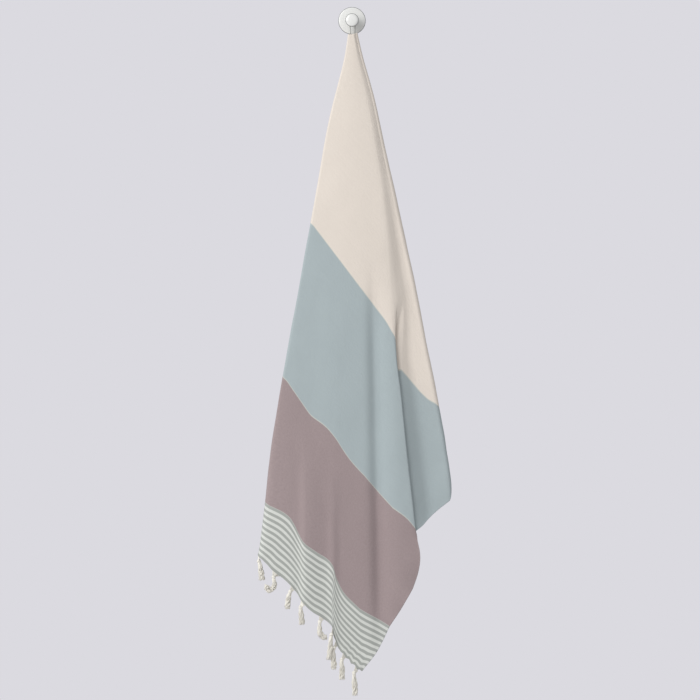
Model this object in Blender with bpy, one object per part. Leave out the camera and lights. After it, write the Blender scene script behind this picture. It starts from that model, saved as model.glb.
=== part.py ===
"""Hammam towel hanging by its sewn loop from a round wall hook.

Metres, +Z up, front toward -Y, origin at the centre of the hook's back face.
The towel is one cloth hung from the middle of a long side.  Every line from
the hanging point falls in its own direction, and the folds turn the cloth
back and forth between those lines, so the sections below are taken at a
reach (distance from the hanging point) and a cloth angle (measured on the
flat cloth from the length direction, 0 to 180 degrees).
"""
import math
import bmesh
import bpy
from mathutils import Vector

MM = 0.001

# towel
TOWEL_LENGTH = 1800.0 * MM
TOWEL_WIDTH = 900.0 * MM
CLOTH_THICKNESS = 1.2 * MM
HANG_POINT = Vector((-3.9 * MM, 0.0, -26.6 * MM))
TOP_REACH = 3.5 * MM
TURN_ANGLE = 0.7
TURN_WIDTHS = {2: 1.6 * MM, 3: 3.0 * MM, 5: 6.0 * MM}
WIDEST_TURN = 12.0 * MM
LEFT_TURN_GROWTH = 7.0 * MM

# fringe
TASSELS_PER_END = 18
FRINGE_GAP = 0.5 * MM
HEADING_WIDTH = 4.0 * MM
FRONT_FRINGE_SHIFT = 8.0 * MM
TASSEL_ROOT = 3.2 * MM
TASSEL_LENGTH = 48.0
TASSEL_FLATNESS = 0.62
TASSEL_LEAN = 0.8
ROOT_DROP = 5.0 * MM
STATION_STEP = 0.3 * MM

# front tassels that show, by number: places down each tassel, in millimetres
# sideways from its root and down from it
TASSEL_PLACES = {
    9: ((3.0, 10.0), (4.5, 20.0), (6.0, 31.0), (7.5, 41.0)),
    10: ((1.0, 12.0), (1.5, 22.0), (-3.0, 30.0), (-9.0, 32.0), (-14.0, 28.0)),
    11: ((-2.0, 10.0), (-4.5, 20.0), (-6.0, 30.0), (-6.0, 39.0)),
    12: ((-1.5, 11.0), (-2.0, 21.0), (-2.0, 32.0), (-1.5, 43.0)),
    13: ((-0.5, 11.0), (-0.5, 22.0), (0.5, 33.0), (4.5, 40.0), (11.5, 42.0)),
    14: ((-2.0, 14.0), (-3.5, 28.0), (-4.5, 42.0), (-5.5, 55.0)),
    15: ((-1.5, 10.0), (-1.5, 22.0), (-1.0, 35.0), (-1.0, 48.0)),
    16: ((-2.0, 11.0), (-3.5, 22.0), (-5.0, 33.0), (-6.0, 45.0)),
    17: ((0.5, 12.0), (1.0, 25.0), (1.0, 38.0), (1.0, 50.0)),
}

# share of a tassel's length, half of its width in millimetres
TASSEL_WIDTHS = (
    (0.09, 1.7),
    (0.16, 2.9),
    (0.24, 2.9),
    (0.31, 2.3),
    (0.46, 3.6),
    (0.64, 4.4),
    (0.82, 4.8),
    (1.0, 4.6),
)

# hook
ROSETTE_RADIUS = 26.5 * MM
ROSETTE_DEPTH = 7.0 * MM
NECK_RADIUS = 5.5 * MM
HEAD_RADIUS = 13.0 * MM
HEAD_FRONT = 36.0 * MM
SEAT_GAP = 0.3 * MM
LATHE_STEPS = 32

# hanging loop
TAPE_WIDTH = 8.0 * MM
TAPE_THICKNESS = 1.2 * MM
TAPE_MIDDLE = -20.0 * MM

# sideways places of the folds and depth of the stack, in millimetres:
# reach, left fold, main fold, right fold, back limit, stack depth, wall gap
OUTLINE = (
    (0, -3.0, 7.0, 13.5, 12.5, 24.0, 10.0),
    (50, -11.0, 15.0, 25.0, 21.0, 25.0, 9.0),
    (100, -23.0, 26.0, 38.8, 36.0, 28.0, 8.0),
    (140, -33.0, 34.0, 49.0, 45.0, 31.0, 7.0),
    (200, -46.0, 45.0, 61.5, 57.0, 36.0, 6.5),
    (280, -59.5, 57.5, 79.0, 72.0, 42.0, 6.0),
    (380, -77.0, 68.5, 100.0, 92.0, 48.0, 6.0),
    (460, -91.5, 73.5, 117.5, 107.0, 52.0, 6.0),
    (540, -105.5, 80.0, 133.5, 121.0, 56.0, 6.0),
    (630, -121.5, 89.0, 150.5, 137.0, 60.0, 6.0),
    (720, -137.5, 100.0, 168.0, 153.0, 63.0, 6.0),
    (830, -154.0, 111.0, 187.0, 160.0, 65.0, 6.0),
    (925, -164.0, 122.0, 198.5, 150.0, 66.0, 6.0),
    (970, -169.5, 128.0, 199.5, 132.0, 66.0, 6.2),
    (1010, -175.0, 137.0, 200.0, 118.0, 66.0, 6.5),
    (1050, -181.0, 141.5, 200.0, 118.0, 66.0, 6.8),
    (1090, -187.5, 142.0, 200.0, 128.0, 66.0, 7.1),
    (1150, -196.5, 148.0, 200.0, 150.0, 65.0, 7.5),
    (1240, -208.0, 152.0, 200.0, 170.0, 64.0, 8.0),
)
REACH, LEFT, MAIN, RIGHT, LIMIT, STACK, WALL = range(7)

# distances along the cloth, from its middle, of the woven bands' edges
BLUE_START = 328.5 * MM
MAUVE_START = 592.0 * MM
STRIPE_START = 808.0 * MM

# front panel: cloth angle, share of the way from the left to the main fold
# at the blue band, at the mauve band, at the stripes and at the hanging edge
FRONT = (
    (28.7, 0.0, 0.0, 0.0, 0.0),
    (29.5, 0.030, 0.034, 0.087, 0.037),
    (30.4, 0.057, 0.061, 0.143, 0.074),
    (31.6, 0.091, 0.097, 0.179, 0.150),
    (33.5, 0.149, 0.155, 0.220, 0.232),
    (35.0, 0.196, 0.202, 0.261, 0.277),
    (36.1, 0.232, 0.237, 0.330, 0.325),
    (37.2, 0.269, 0.279, 0.401, 0.396),
    (38.5, 0.314, 0.358, 0.443, 0.455),
    (39.4, 0.345, 0.405, 0.456, 0.465),
    (40.3, 0.378, 0.439, 0.468, 0.478),
    (41.8, 0.434, 0.485, 0.497, 0.502),
    (43.0, 0.479, 0.516, 0.531, 0.544),
    (44.6, 0.541, 0.563, 0.600, 0.613),
    (46.4, 0.613, 0.622, 0.684, 0.722),
    (48.1, 0.683, 0.685, 0.765, 0.792),
    (50.0, 0.763, 0.766, 0.843, 0.872),
    (52.0, 0.849, 0.861, 0.920, 0.940),
    (54.0, 0.938, 0.949, 0.982, 0.990),
    (55.9, 1.0, 1.0, 1.0, 1.0),
)

# second layer: share of its cloth, share of its width at the two reaches of
# SECOND_REACHES
SECOND = (
    (0.0, 0.0, 0.0),
    (0.07, 0.47, 0.07),
    (0.25, 0.585, 0.27),
    (0.50, 0.728, 0.54),
    (0.62, 0.792, 0.625),
    (0.74, 0.848, 0.728),
    (0.86, 0.902, 0.840),
    (1.0, 1.0, 1.0),
)
SECOND_REACHES = (650.0 * MM, 930.0 * MM)

# folds in cloth order: cloth angle, outline column, share of the way to it
# from the left fold, sideways inset in millimetres and in share of the reach
FOLDS = (
    (0.0, MAIN, 0.14, 0.0, 0.0),
    (12.0, MAIN, 0.70, 0.0, 0.0),
    (28.0, MAIN, 0.0, 0.0, 0.0),
    (56.6, MAIN, 1.0, 0.0, 0.0),
    (59.0, MAIN, 1.0, -5.0, -0.050),
    (64.5, RIGHT, 1.0, 0.0, 0.0),
    (88.0, LIMIT, 0.06, 0.0, 0.0),
    (104.0, LIMIT, 0.95, 0.0, 0.0),
    (120.0, LIMIT, 0.10, 0.0, 0.0),
    (146.0, LIMIT, 0.90, 0.0, 0.0),
    (162.0, LIMIT, 0.08, 0.0, 0.0),
    (180.0, LIMIT, 0.78, 0.0, 0.0),
)

# layers between the folds: depth rank in the stack (0 front, 1 back),
# share of the front's relief taken over, inner sections
LAYERS = (
    (0.38, 0.50, 5),
    (0.28, 0.60, 6),
    (0.00, 1.00, 28),
    (0.06, 1.00, 5),
    (0.12, 0.95, 10),
    (0.48, 0.45, 7),
    (0.585, 0.40, 6),
    (0.69, 0.35, 6),
    (0.795, 0.30, 9),
    (0.90, 0.20, 6),
    (1.00, 0.10, 5),
)

# how much closer the front's sections stand near the main fold
FRONT_CROWDING = 0.38

# slack: cloth angle, share of the flat reach that the hanging edge keeps
SLACK = (
    (0.0, 1.0),
    (28.0, 1.002),
    (31.5, 1.003),
    (36.5, 1.0),
    (38.5, 0.993),
    (40.0, 0.991),
    (45.0, 0.967),
    (48.0, 0.947),
    (52.0, 0.943),
    (56.6, 0.900),
    (58.0, 0.925),
    (61.2, 0.945),
    (62.7, 0.929),
    (64.0, 0.916),
    (64.5, 0.903),
    (70.0, 0.900),
    (90.0, 0.92),
    (120.0, 0.93),
    (180.0, 0.93),
)

# creases of the front, millimetres: sideways place at 450 and at 1100 reach,
# height toward the front at both, width to the left and to the right, start, end
CREASES = (
    (44.5, 56.5, -7.6, -8.2, 12.0, 27.0, 420.0, 620.0),
    (66.0, 78.0, 0.8, 1.6, 12.0, 45.0, 420.0, 620.0),
    (-87.0, -85.0, 8.0, 6.0, 10.0, 30.0, 740.0, 980.0),
    (-31.0, -33.0, 4.0, 3.0, 9.0, 9.0, 800.0, 1040.0),
)

# toward the hanging edge the creases keep only a share of their height
CREASE_END = (1060.0 * MM, 1180.0 * MM)
CREASE_KEPT = 0.35

# second layer: share of its shown width, share of its fall toward the wall
SECOND_FALL = (
    (0.0, 0.0),
    (0.08, 0.19),
    (0.20, 0.53),
    (0.32, 0.87),
    (0.43, 1.01),
    (0.60, 1.02),
    (1.0, 0.95),
)
SECOND_DROP = 0.20

# open valley at the top of the main fold: share of its width, share of the
# fall to its far side
VALLEY = (
    (0.0, 0.0),
    (0.12, 0.05),
    (0.28, 0.24),
    (0.48, 0.60),
    (0.66, 0.90),
    (0.84, 1.01),
    (1.0, 1.0),
)
VALLEY_START = 55.91
VALLEY_END = 63.79
VALLEY_REACHES = (520.0 * MM, 660.0 * MM)
VALLEY_GROWTH = (180.0 * MM, 480.0 * MM)
VALLEY_BEND = 1.6

# bulge of the whole front in millimetres by reach
BULGE = (
    (0.0, 0.0),
    (100.0, 2.0),
    (300.0, 3.5),
    (600.0, 4.0),
    (900.0, 4.0),
    (1240.0, 4.0),
)

ROW_SHARES = (
    0.0, 0.025, 0.055, 0.09, 0.13, 0.18, 0.24, 0.31, 0.38, 0.45,
    0.52, 0.59, 0.66, 0.73, 0.80, 0.87, 0.935, 1.0,
)


def smooth_step(value, start, end):
    share = min(max((value - start) / (end - start), 0.0), 1.0)
    return share * share * (3.0 - 2.0 * share)


def line_table(rows, value, column=1):
    """Straight interpolation in a table whose first column rises."""
    if value <= rows[0][0]:
        return rows[0][column]
    for low, high in zip(rows, rows[1:]):
        if value <= high[0]:
            share = (value - low[0]) / (high[0] - low[0])
            return low[column] + share * (high[column] - low[column])
    return rows[-1][column]


def curve_table(rows, value, column=1):
    """Rounded interpolation in a table whose first column rises."""
    last = len(rows) - 1
    value = min(max(value, rows[0][0]), rows[last][0])
    index = 0
    while index < last - 1 and value > rows[index + 1][0]:
        index += 1
    low, high = rows[index], rows[index + 1]
    before, after = rows[max(index - 1, 0)], rows[min(index + 2, last)]
    span = high[0] - low[0]
    share = (value - low[0]) / span
    slope_low = (high[column] - before[column]) / (high[0] - before[0]) * span
    slope_high = (after[column] - low[column]) / (after[0] - low[0]) * span
    square, cube = share * share, share ** 3
    return (
        (2 * cube - 3 * square + 1) * low[column]
        + (cube - 2 * square + share) * slope_low
        + (3 * square - 2 * cube) * high[column]
        + (cube - square) * slope_high
    )


def flat_reach(angle):
    """Distance on the flat cloth from the hanging point to the edge."""
    turn = math.radians(angle)
    along = abs(math.cos(turn))
    across = math.sin(turn)
    reaches = []
    if along > 1e-6:
        reaches.append(TOWEL_LENGTH / 2.0 / along)
    if across > 1e-6:
        reaches.append(TOWEL_WIDTH / across)
    return min(reaches)


def hung_reach(angle):
    """Distance from the hanging point to the hanging edge."""
    return flat_reach(angle) * line_table(SLACK, angle)


def outline(reach, column):
    return curve_table(OUTLINE, reach / MM, column) * MM


def fold_place(index, reach):
    """Sideways place of a fold at a reach."""
    _, column, share, inset, inset_share = FOLDS[index]
    left = outline(reach, LEFT)
    place = left + share * (outline(reach, column) - left)
    return place + inset * MM + inset_share * reach


def even_reach(angle):
    """Reach to which the hung cloth keeps the flat cloth's lengths."""
    share = min(max((angle - 56.6) / 3.1, 0.0), 1.0)
    return (578.0 + 122.0 * share) * MM


def band_reach(angle, away):
    """Reach at which a band's edge crosses the line of a cloth angle."""
    hung, flat, start = hung_reach(angle), flat_reach(angle), even_reach(angle)
    even = away / abs(math.cos(math.radians(angle)))
    if even <= start:
        return even
    return start + (even - start) * (hung - start) / (flat - start)


def front_share(angle, reach):
    """Share of the way across the front panel for a cloth angle."""
    blue = band_reach(angle, BLUE_START)
    edge = hung_reach(angle)
    mauve = min(band_reach(angle, MAUVE_START), edge - 2.0 * MM)
    place = (STRIPE_START - MAUVE_START) / (TOWEL_LENGTH / 2.0 - MAUVE_START)
    stripes = mauve + (edge - mauve) * place
    shares = [curve_table(FRONT, angle, column) for column in (1, 2, 3, 4)]
    return line_table(tuple(zip((blue, mauve, stripes, edge), shares)), reach)


def second_share(share, reach):
    """Share of the way across the second layer for a share of its cloth."""
    shares = [line_table(SECOND, share, column) for column in (1, 2)]
    return line_table(tuple(zip(SECOND_REACHES, shares)), reach)


def relief(side, reach):
    """Height of the front's bulge and creases at a sideways place."""
    left = outline(reach, LEFT)
    right = outline(reach, MAIN)
    middle, half = (left + right) / 2.0, (right - left) / 2.0
    across = min(abs(side - middle) / half, 1.0)
    height = curve_table(BULGE, reach / MM) * (1.0 - across * across)
    down = (reach / MM - 450.0) / 650.0
    kept = 1.0 - (1.0 - CREASE_KEPT) * smooth_step(reach, *CREASE_END)
    for upper, lower, rise, low_rise, before, after, start, end in CREASES:
        grown = smooth_step(reach / MM, start, end) * (1.0 + (low_rise / rise - 1.0) * down)
        away = side / MM - (upper + (lower - upper) * down)
        width = before if away < 0.0 else after
        height += rise * grown * kept * math.exp(-((away / width) ** 2))
    return height * MM


def second_fall(side, reach):
    """Fall of the second layer toward the wall beside the main fold."""
    inner = outline(reach, MAIN)
    span = max(outline(reach, RIGHT) - inner, 0.1 * MM)
    share = min(max((side - inner) / span, 0.0), 1.0)
    return SECOND_DROP * span * curve_table(SECOND_FALL, share)


def layer_depth(layer, side, reach):
    """Distance of a layer from the wall at a sideways place."""
    rank, follow, _ = LAYERS[layer]
    depth = outline(reach, WALL) + (1.0 - rank) * outline(reach, STACK)
    depth += follow * relief(side, reach)
    if layer == 4:
        depth -= second_fall(side, reach)
    return depth


def layer_of(angle):
    for index in range(len(LAYERS)):
        if angle <= FOLDS[index + 1][0]:
            return index
    return len(LAYERS) - 1


def near_turn(angle):
    """Index of the fold whose turn holds the cloth angle, or None."""
    for index in range(1, len(FOLDS) - 1):
        if abs(angle - FOLDS[index][0]) < TURN_ANGLE:
            return index
    return None


def turned_place(index, angle, reach):
    """Sideways place and depth on the round turn at a fold."""
    place = fold_place(index, reach)
    side_sign = 1.0 if fold_place(index - 1, reach) < place else -1.0
    before = layer_depth(index - 1, place, reach)
    after = layer_depth(index, place, reach)
    radius = abs(before - after) / 2.0
    turn = (angle - FOLDS[index][0]) / TURN_ANGLE * math.pi / 2.0
    widest = TURN_WIDTHS.get(index, WIDEST_TURN)
    if index == 2:
        widest += LEFT_TURN_GROWTH * smooth_step(reach / MM, 720.0, 920.0)
    squeeze = min(radius, 0.3 * abs(place - fold_place(index - 1, reach)), widest)
    side = place - side_sign * squeeze * (1.0 - math.cos(turn))
    depth = (before + after) / 2.0 + (after - before) / 2.0 * math.sin(turn)
    return side, depth


def section_place(angle, reach):
    """Sideways place and depth of the cloth at an angle and a reach."""
    side, depth = folded_place(angle, reach)
    if not VALLEY_START < angle < VALLEY_END:
        return side, depth
    near, near_depth = folded_place(VALLEY_START, reach)
    far, far_depth = folded_place(VALLEY_END, reach)
    share = (angle - VALLEY_START) / (VALLEY_END - VALLEY_START)
    open_side = near + share * (far - near)
    grown = smooth_step(reach, *VALLEY_GROWTH)
    fall = curve_table(VALLEY, share) * grown + share ** VALLEY_BEND * (1.0 - grown)
    open_depth = near_depth + (far_depth - near_depth) * fall
    closed = smooth_step(reach, *VALLEY_REACHES)
    side = side * closed + open_side * (1.0 - closed)
    return side, depth * closed + open_depth * (1.0 - closed)


def folded_place(angle, reach):
    """Place and depth with every fold closed."""
    index = near_turn(angle)
    if index is not None:
        return turned_place(index, angle, reach)
    layer = layer_of(angle)
    low, high = FOLDS[layer][0], FOLDS[layer + 1][0]
    start_angle = low if layer == 0 else low + TURN_ANGLE
    end_angle = high if layer == len(LAYERS) - 1 else high - TURN_ANGLE
    start = fold_place(0, reach)
    if layer > 0:
        start = turned_place(layer, start_angle, reach)[0]
    end = fold_place(len(FOLDS) - 1, reach)
    if layer < len(LAYERS) - 1:
        end = turned_place(layer + 1, end_angle, reach)[0]
    share = (angle - start_angle) / (end_angle - start_angle)
    if layer == 2:
        share = front_share(angle, reach)
    if layer == 4:
        share = second_share(share, reach)
    side = start + share * (end - start)
    return side, layer_depth(layer, side, reach)


def cloth_point(angle, reach):
    """Point of the cloth's middle surface."""
    side, depth = section_place(angle, reach)
    drop = reach - side * side / (2.0 * (reach + 27.0 * MM))
    return HANG_POINT + Vector((side, -depth, -drop))


def cloth_angles():
    """Cloth angles of the sections, closer together in the turns."""
    angles = [FOLDS[0][0]]
    for layer, (_, _, inner) in enumerate(LAYERS):
        low, high = FOLDS[layer][0], FOLDS[layer + 1][0]
        if layer > 0:
            low += TURN_ANGLE
        if layer < len(LAYERS) - 1:
            high -= TURN_ANGLE
        for step in range(1, inner + 1):
            share = step / (inner + 1)
            if layer == 2:
                share *= 1.0 + FRONT_CROWDING * (1.0 - share)
            angles.append(low + (high - low) * share)
        if layer < len(LAYERS) - 1:
            fold = FOLDS[layer + 1][0]
            for part in (-1.0, -0.5, 0.0, 0.5, 1.0):
                angles.append(fold + part * TURN_ANGLE * 0.999)
    angles.append(FOLDS[-1][0])
    for corner in (45.0, 135.0):
        near = min(range(len(angles)), key=lambda i: abs(angles[i] - corner))
        angles[near] = corner
    return angles


def middle_normals(grid):
    """Normals of a grid of points."""
    rows, columns = len(grid), len(grid[0])
    normals = []
    for row in range(rows):
        line = []
        for column in range(columns):
            left = grid[row][max(column - 1, 0)]
            right = grid[row][min(column + 1, columns - 1)]
            above = grid[max(row - 1, 0)][column]
            below = grid[min(row + 1, rows - 1)][column]
            line.append((right - left).cross(below - above).normalized())
        normals.append(line)
    return normals


def thicken(grid, thickness):
    """Vertices of both sides of a sheet: front ones, then back ones."""
    normals = middle_normals(grid)
    sides = []
    for sign in (0.5, -0.5):
        for line, line_normals in zip(grid, normals):
            for point, normal in zip(line, line_normals):
                sides.append(point + normal * (sign * thickness))
    return sides


def sheet_faces(rows, columns):
    """Faces of both sides and the rims of a thickened grid."""
    half = rows * columns
    faces = []
    for row in range(rows - 1):
        for column in range(columns - 1):
            a = row * columns + column
            b, c, d = a + 1, a + columns + 1, a + columns
            faces.append((a, b, c, d))
            faces.append((half + d, half + c, half + b, half + a))
    for row in range(rows - 1):
        a, b = row * columns, (row + 1) * columns
        faces.append((a, b, half + b, half + a))
        c, d = a + columns - 1, b + columns - 1
        faces.append((d, c, half + c, half + d))
    for column in range(columns - 1):
        a, b = column, column + 1
        faces.append((b, a, half + a, half + b))
    return faces


def lower_rim(rows, columns, column):
    """Rim face under one step of a grid's last row."""
    half = rows * columns
    a = (rows - 1) * columns + column
    return (a, a + 1, half + a + 1, half + a)


def add_object(name, vertices, faces, material, smooth=False):
    """Object of three-sided faces with one material."""
    mesh = bpy.data.meshes.new(name)
    mesh.from_pydata([tuple(v) for v in vertices], [], faces)
    mesh.validate()
    shape = bmesh.new()
    shape.from_mesh(mesh)
    bmesh.ops.triangulate(shape, faces=shape.faces)
    shape.to_mesh(mesh)
    shape.free()
    mesh.materials.append(material)
    for polygon in mesh.polygons:
        polygon.use_smooth = smooth
    item = bpy.data.objects.new(name, mesh)
    bpy.context.scene.collection.objects.link(item)
    return item


def add_material(name, colour, roughness, metallic=0.0):
    material = bpy.data.materials.new(name)
    material.use_nodes = True
    shader = material.node_tree.nodes["Principled BSDF"]
    shader.inputs["Base Color"].default_value = (*colour, 1.0)
    shader.inputs["Roughness"].default_value = roughness
    shader.inputs["Metallic"].default_value = metallic
    material.diffuse_color = (*colour, 1.0)
    return material


def cloth_grid(angles):
    """Points of the cloth's middle surface, a row at each share of the reach."""
    grid = []
    for share in ROW_SHARES:
        line = []
        for angle in angles:
            reach = TOP_REACH + share * (hung_reach(angle) - TOP_REACH)
            line.append(cloth_point(angle, reach))
        grid.append(line)
    return grid


def build_cloth(material):
    grid = cloth_grid(cloth_angles())
    vertices = thicken(grid, CLOTH_THICKNESS)
    rows, columns = len(grid), len(grid[0])
    faces = sheet_faces(rows, columns)
    faces += [lower_rim(rows, columns, c) for c in range(columns - 1)]
    return add_object("towel_cloth", vertices, faces, material, True)


def fringe_stations(direction):
    """Places along a fringed end: distance across, tassel number or None."""
    stations = []
    pitch = TOWEL_WIDTH / TASSELS_PER_END
    shift = FRONT_FRINGE_SHIFT if direction > 0 else 0.0
    for number in range(TASSELS_PER_END):
        middle = (number + 0.5) * pitch + shift
        stations.append((middle - TASSEL_ROOT / 2.0, number))
        stations.append((middle + TASSEL_ROOT / 2.0, None))
        if number < TASSELS_PER_END - 1:
            stations.append((middle + pitch / 2.0, None))
    stations.append((0.6 * MM, None))
    stations.append((TOWEL_WIDTH - 0.6 * MM, None))
    for angle in cloth_angles():
        away = angle if direction > 0 else 180.0 - angle
        if 0.0 < away < 44.9:
            across = TOWEL_LENGTH / 2.0 * math.tan(math.radians(away))
            stations.append((across, None))
    stations.sort(key=lambda station: station[0])
    clear = []
    for across, number in stations:
        if clear:
            step = across - clear[-1][0]
            least = STATION_STEP if clear[-1][1] is None else TASSEL_ROOT - 1e-7
            if number is None and step < least:
                continue
            if number is not None and step < STATION_STEP:
                clear.pop()
        clear.append((across, number))
    return clear


def tassel_places(number, direction):
    """Places down a tassel: sideways from its root and down from it."""
    if direction > 0 and number in TASSEL_PLACES:
        return TASSEL_PLACES[number]
    length = TASSEL_LENGTH * (1.0 + 0.12 * math.sin(number * 2.5 + 1.0))
    sway = length * (-0.03 + 0.02 * math.sin(number * 2.3))
    return ((sway * 0.1, length * 0.3), (sway * 0.4, length * 0.6), (sway, length))


def tassel_path(number, direction):
    """Way from the root and half width of each section of a tassel."""
    rows = [(0.0, 0.0, 0.0)]
    for side, down in tassel_places(number, direction):
        way, last_side, last_down = rows[-1]
        rows.append((way + math.hypot(side - last_side, down - last_down), side, down))
    length = rows[-1][0]
    sections = []
    for share, half in TASSEL_WIDTHS:
        side = curve_table(rows, share * length, 1)
        down = curve_table(rows, share * length, 2)
        sections.append((Vector((side, 0.0, -down)) * MM, half * MM))
    return sections


def hanging_edge():
    """Cloth angle, front point, back point and outward way of each section."""
    angles = cloth_angles()
    grid = cloth_grid(angles)
    sides = thicken(grid, CLOTH_THICKNESS)
    half = len(sides) // 2
    edge = []
    for column, angle in enumerate(angles):
        last = half - len(angles) + column
        outward = (grid[-1][column] - grid[-2][column]).normalized()
        stretch = 1.0 / max(abs(math.cos(math.radians(angle))), 0.1)
        edge.append((angle, sides[last], sides[half + last], outward * stretch))
    return edge


def beyond_edge(edge, angle, beyond):
    """Front and back point past the hanging edge, straight between sections."""
    index = 0
    while index < len(edge) - 2 and angle > edge[index + 1][0]:
        index += 1
    low, high = edge[index], edge[index + 1]
    share = min(max((angle - low[0]) / (high[0] - low[0]), 0.0), 1.0)
    front = (low[1] + low[3] * beyond).lerp(high[1] + high[3] * beyond, share)
    back = (low[2] + low[3] * beyond).lerp(high[2] + high[3] * beyond, share)
    return front, back


def build_fringe(name, direction, material):
    """Narrow heading along a fringed end with its knotted tassels."""
    stations = fringe_stations(direction)
    edge = hanging_edge()
    fronts, backs = [], []
    for beyond in (FRINGE_GAP, FRINGE_GAP + HEADING_WIDTH):
        for across, _ in stations:
            away = math.degrees(math.atan2(across, TOWEL_LENGTH / 2.0))
            angle = away if direction > 0 else 180.0 - away
            front, back = beyond_edge(edge, angle, beyond)
            fronts.append(front)
            backs.append(back)
    columns = len(stations)
    vertices = fronts + backs if direction > 0 else backs + fronts
    faces = sheet_faces(2, columns)
    for column in range(columns - 1):
        rim = lower_rim(2, columns, column)
        number = stations[column][1]
        if number is None:
            faces.append(rim)
            continue
        add_tassel(vertices, faces, rim, tassel_path(number, direction))
    return add_object(name, vertices, faces, material, False)


def add_tassel(vertices, faces, rim, sections):
    """Strand of four sides that grows out of one rim face."""
    root = sum((vertices[i] for i in rim), Vector()) / 4.0
    along = vertices[rim[1]] - vertices[rim[0]]
    lean = -abs(along.z) / along.length * math.copysign(1.0, along.x * -along.z)
    along.z = 0.0
    along.normalize()
    through = vertices[rim[3]] - vertices[rim[0]]
    through -= along * through.dot(along)
    through.z = 0.0
    through.normalize()
    ring = list(rim)
    ahead = Vector((0.0, 0.0, -1.0))
    places = [place for place, _ in sections]
    for index, (place, half) in enumerate(sections):
        following_place = places[min(index + 1, len(places) - 1)]
        way = (following_place - places[max(index - 1, 0)]).normalized()
        turn = ahead.rotation_difference(way)
        along, through, ahead = turn @ along, turn @ through, way
        start_lean = lean * TASSEL_LEAN * min(-place.z, ROOT_DROP)
        middle = root + place + Vector((start_lean, 0.0, 0.0))
        start = len(vertices)
        deep = half * TASSEL_FLATNESS
        vertices.append(middle - along * half - through * deep)
        vertices.append(middle + along * half - through * deep)
        vertices.append(middle + along * half + through * deep)
        vertices.append(middle - along * half + through * deep)
        lower = [start, start + 1, start + 2, start + 3]
        for side in range(4):
            following = (side + 1) % 4
            faces.append((ring[side], ring[following], lower[following], lower[side]))
        ring = lower
    faces.append(tuple(ring))


def lathe(name, profile, material):
    """Round solid about the Y axis from (radius, distance from wall) rows."""
    vertices = [Vector((0.0, -profile[0][1], 0.0))]
    for radius, forward in profile[1:-1]:
        for step in range(LATHE_STEPS):
            turn = 2.0 * math.pi * step / LATHE_STEPS
            vertices.append(
                Vector((radius * math.cos(turn), -forward, radius * math.sin(turn)))
            )
    vertices.append(Vector((0.0, -profile[-1][1], 0.0)))
    last = len(vertices) - 1
    rings = len(profile) - 2
    faces = []
    for step in range(LATHE_STEPS):
        following = (step + 1) % LATHE_STEPS
        faces.append((0, 1 + following, 1 + step))
        for ring in range(rings - 1):
            a = 1 + ring * LATHE_STEPS
            b = a + LATHE_STEPS
            faces.append((a + following, b + following, b + step, a + step))
        end = 1 + (rings - 1) * LATHE_STEPS
        faces.append((end + following, last, end + step))
    return add_object(name, vertices, faces, material, True)


def build_rosette(material):
    radius, depth = ROSETTE_RADIUS, ROSETTE_DEPTH
    profile = (
        (0.0, 0.0),
        (radius - 0.6 * MM, 0.0),
        (radius, 0.6 * MM),
        (radius, depth * 0.40),
        (radius - 0.5 * MM, depth * 0.58),
        (radius - 1.8 * MM, depth * 0.70),
        (radius * 0.72, depth * 0.88),
        (radius * 0.42, depth),
        (0.0, depth),
    )
    return lathe("hook_rosette", profile, material)


def build_knob(material):
    foot = ROSETTE_DEPTH + SEAT_GAP
    back = HEAD_FRONT - 8.5 * MM
    profile = (
        (0.0, foot),
        (NECK_RADIUS + 2.0 * MM, foot),
        (NECK_RADIUS + 1.6 * MM, foot + 1.2 * MM),
        (NECK_RADIUS, foot + 3.2 * MM),
        (NECK_RADIUS, back - 2.0 * MM),
        (NECK_RADIUS + 1.5 * MM, back),
        (HEAD_RADIUS - 1.6 * MM, back + 1.0 * MM),
        (HEAD_RADIUS, back + 3.0 * MM),
        (HEAD_RADIUS - 0.5 * MM, back + 5.2 * MM),
        (HEAD_RADIUS - 2.4 * MM, back + 7.2 * MM),
        (HEAD_RADIUS * 0.45, HEAD_FRONT - 0.3 * MM),
        (0.0, HEAD_FRONT),
    )
    return lathe("hook_knob", profile, material)


def loop_path():
    """Middle line of the tape: up one side, over the neck and down."""
    radius = NECK_RADIUS + SEAT_GAP + TAPE_THICKNESS / 2.0
    path = [
        Vector((-2.4 * MM, 0.0, -29.7 * MM)),
        Vector((-2.5 * MM, 0.0, -26.0 * MM)),
        Vector((-3.0 * MM, 0.0, -20.0 * MM)),
        Vector((-3.9 * MM, 0.0, -12.5 * MM)),
    ]
    for step in range(15):
        turn = math.radians(197.0 - step * 214.0 / 14.0)
        path.append(Vector((radius * math.cos(turn), 0.0, radius * math.sin(turn))))
    path += [
        Vector((6.1 * MM, 0.0, -12.5 * MM)),
        Vector((5.9 * MM, 0.0, -20.0 * MM)),
        Vector((5.3 * MM, 0.0, -25.0 * MM)),
        Vector((5.0 * MM, 0.0, -28.2 * MM)),
    ]
    return path


def build_loop(material):
    path = loop_path()
    vertices = []
    for index, point in enumerate(path):
        before = path[max(index - 1, 0)]
        after = path[min(index + 1, len(path) - 1)]
        ahead = (after - before).normalized()
        out = Vector((-ahead.z, 0.0, ahead.x))
        for side, depth in ((1, 1), (1, -1), (-1, -1), (-1, 1)):
            vertices.append(
                point
                + out * (side * TAPE_THICKNESS / 2.0)
                + Vector((0.0, TAPE_MIDDLE + depth * TAPE_WIDTH / 2.0, 0.0))
            )
    faces = [(3, 2, 1, 0)]
    for index in range(len(path) - 1):
        a, b = index * 4, index * 4 + 4
        for side in range(4):
            following = (side + 1) % 4
            faces.append((a + side, a + following, b + following, b + side))
    end = (len(path) - 1) * 4
    faces.append((end, end + 1, end + 2, end + 3))
    return add_object("hanging_loop", vertices, faces, material)


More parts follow.
